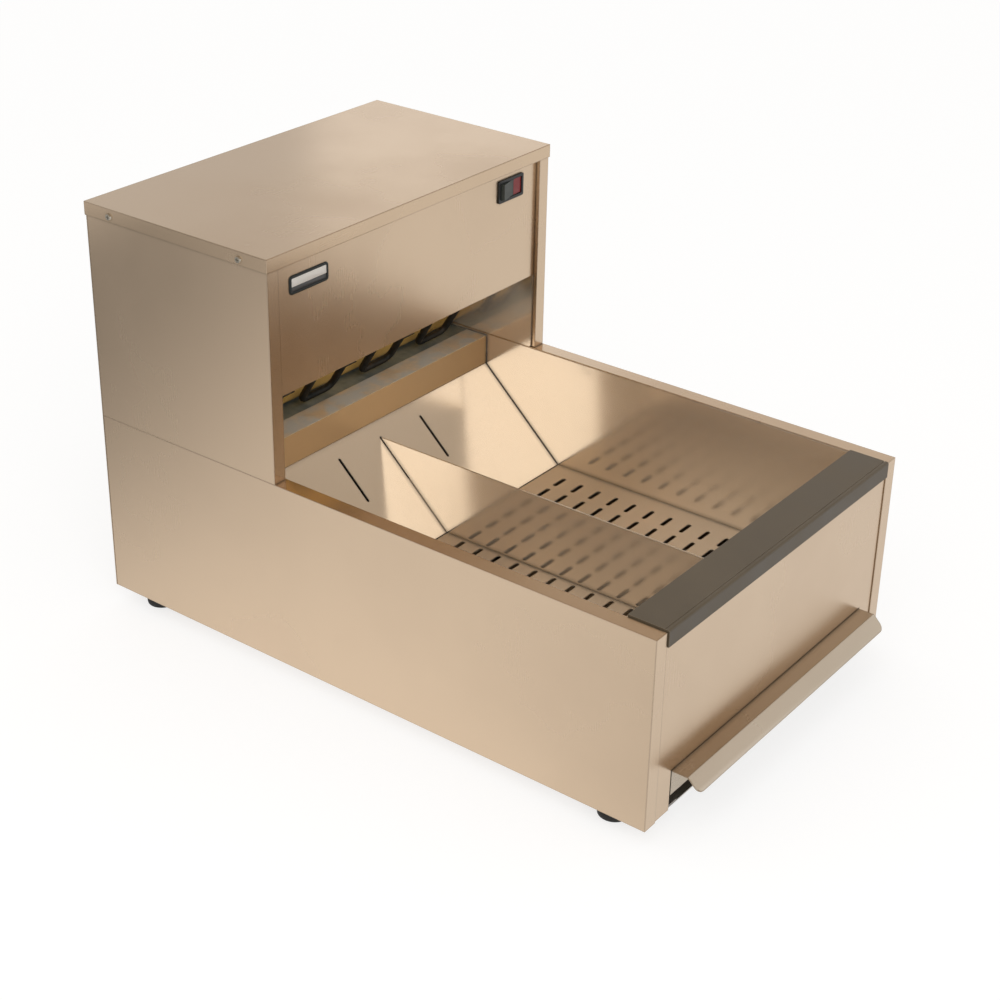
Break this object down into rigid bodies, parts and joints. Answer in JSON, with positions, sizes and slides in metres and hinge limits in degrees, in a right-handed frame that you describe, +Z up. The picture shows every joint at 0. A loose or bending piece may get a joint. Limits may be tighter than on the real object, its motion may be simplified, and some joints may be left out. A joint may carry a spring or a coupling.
{
  "type": "chip warmer",
  "caption": "Counter-top chip warmer: open steel bin with a perforated floor and a lift-out divider, a heated hood with a fan behind it, a crumb tray and rubber feet.",
  "frame": {"origin": "on the surface that the feet stand on, under the middle of the whole outline", "axes": "+X to the right as seen from the front, +Y from the front (bin) to the back (hood), +Z up"},
  "size_m": [0.4664, 0.7658, 0.478],
  "materials": {
    "panel_steel": null,
    "bin_steel": "semi-polished stainless sheet that mirrors its neighbours softly",
    "divider_steel": "semi-polished stainless sheet",
    "inner_steel": "plain mill-finish sheet",
    "reflector": "polished reflector sheet",
    "element_sheath": "heat-darkened metal sheath",
    "ceramic": "unglazed ceramic",
    "rail_dark": "dark anodised extrusion, satin",
    "wool": "mineral wool slab",
    "motor_paint": "black enamel",
    "bright_steel": "bright plated steel",
    "black_plastic": "moulded nylon",
    "red_lens": "translucent red plastic",
    "badge_plate": "bare satin plate in a dark frame",
    "wire_cover": "heat-proof wire covering",
    "foot_rubber": "black rubber"
  },
  "bodies": {
    "cabinet": {"body_left_panel": "panel_steel", "body_right_panel": "panel_steel", "body_front_panel": "panel_steel", "body_back_panel": "panel_steel", "hood_left_panel": "panel_steel", "hood_right_panel": "panel_steel", "hood_front_panel": "panel_steel", "hood_back_panel": "panel_steel", "top_cover": "panel_steel", "bin_wall_left": "bin_steel", "bin_wall_right": "bin_steel", "bin_wall_front": "bin_steel", "bin_floor": "bin_steel", "bin_slope": "bin_steel", "bin_ledge": "bin_steel", "divider_guides": "bin_steel", "hood_inner_left": "bin_steel", "hood_inner_right": "bin_steel", "base_pan": "inner_steel", "tray_runner_left": "inner_steel", "tray_runner_right": "inner_steel", "partition": "inner_steel", "chamber_ceiling": "inner_steel", "air_deck": "inner_steel", "return_duct": "inner_steel", "fan_housing": "inner_steel", "fan_bracket": "inner_steel", "control_bracket": "inner_steel", "heater_reflector": "reflector", "heater_element": "element_sheath", "element_clips": "element_sheath", "element_bushings": "ceramic", "terminal_block": "ceramic", "front_rail": "rail_dark", "insulation_left": "wool", "insulation_right": "wool", "insulation_front": "wool", "hood_insulation": "wool", "fan_motor": "motor_paint", "foot_screws": "bright_steel", "foot_nuts": "bright_steel", "cover_screws": "bright_steel", "back_screws": "bright_steel", "switch_housing": "black_plastic", "cord_gland": "black_plastic", "gland_nut": "black_plastic", "thermostat": "black_plastic", "high_limit": "black_plastic", "badge": "badge_plate", "wiring_loom": "wire_cover", "foot_front_left": "foot_rubber", "foot_front_right": "foot_rubber", "foot_back_left": "foot_rubber", "foot_back_right": "foot_rubber"},
    "crumb_tray": {"crumb_tray": "panel_steel"},
    "divider": {"divider": "divider_steel"},
    "rocker": {"switch_rocker": "black_plastic", "switch_lens": "red_lens"},
    "fan_rotor": {"fan_wheel": "inner_steel", "fan_shaft": "bright_steel"}
  },
  "joints": [
    {"name": "crumb_tray_slide", "type": "slide", "parent": "cabinet", "child": "crumb_tray", "axis": [0, -1, 0], "range_m": [0, 0.36]},
    {"name": "divider_lift", "type": "slide", "parent": "cabinet", "child": "divider", "axis": [0, 0, 1], "range_m": [0, 0.14]},
    {"name": "switch_rock", "type": "hinge", "parent": "cabinet", "child": "rocker", "pos_m": [0.165, 0.11987, 0.4425], "axis": [0, 0, -1], "range_deg": [0, 16]},
    {"name": "fan_spin", "type": "hinge", "parent": "cabinet", "child": "fan_rotor", "pos_m": [0, 0.29637, 0.1], "axis": [0, 0, 1], "continuous": true}
  ]
}
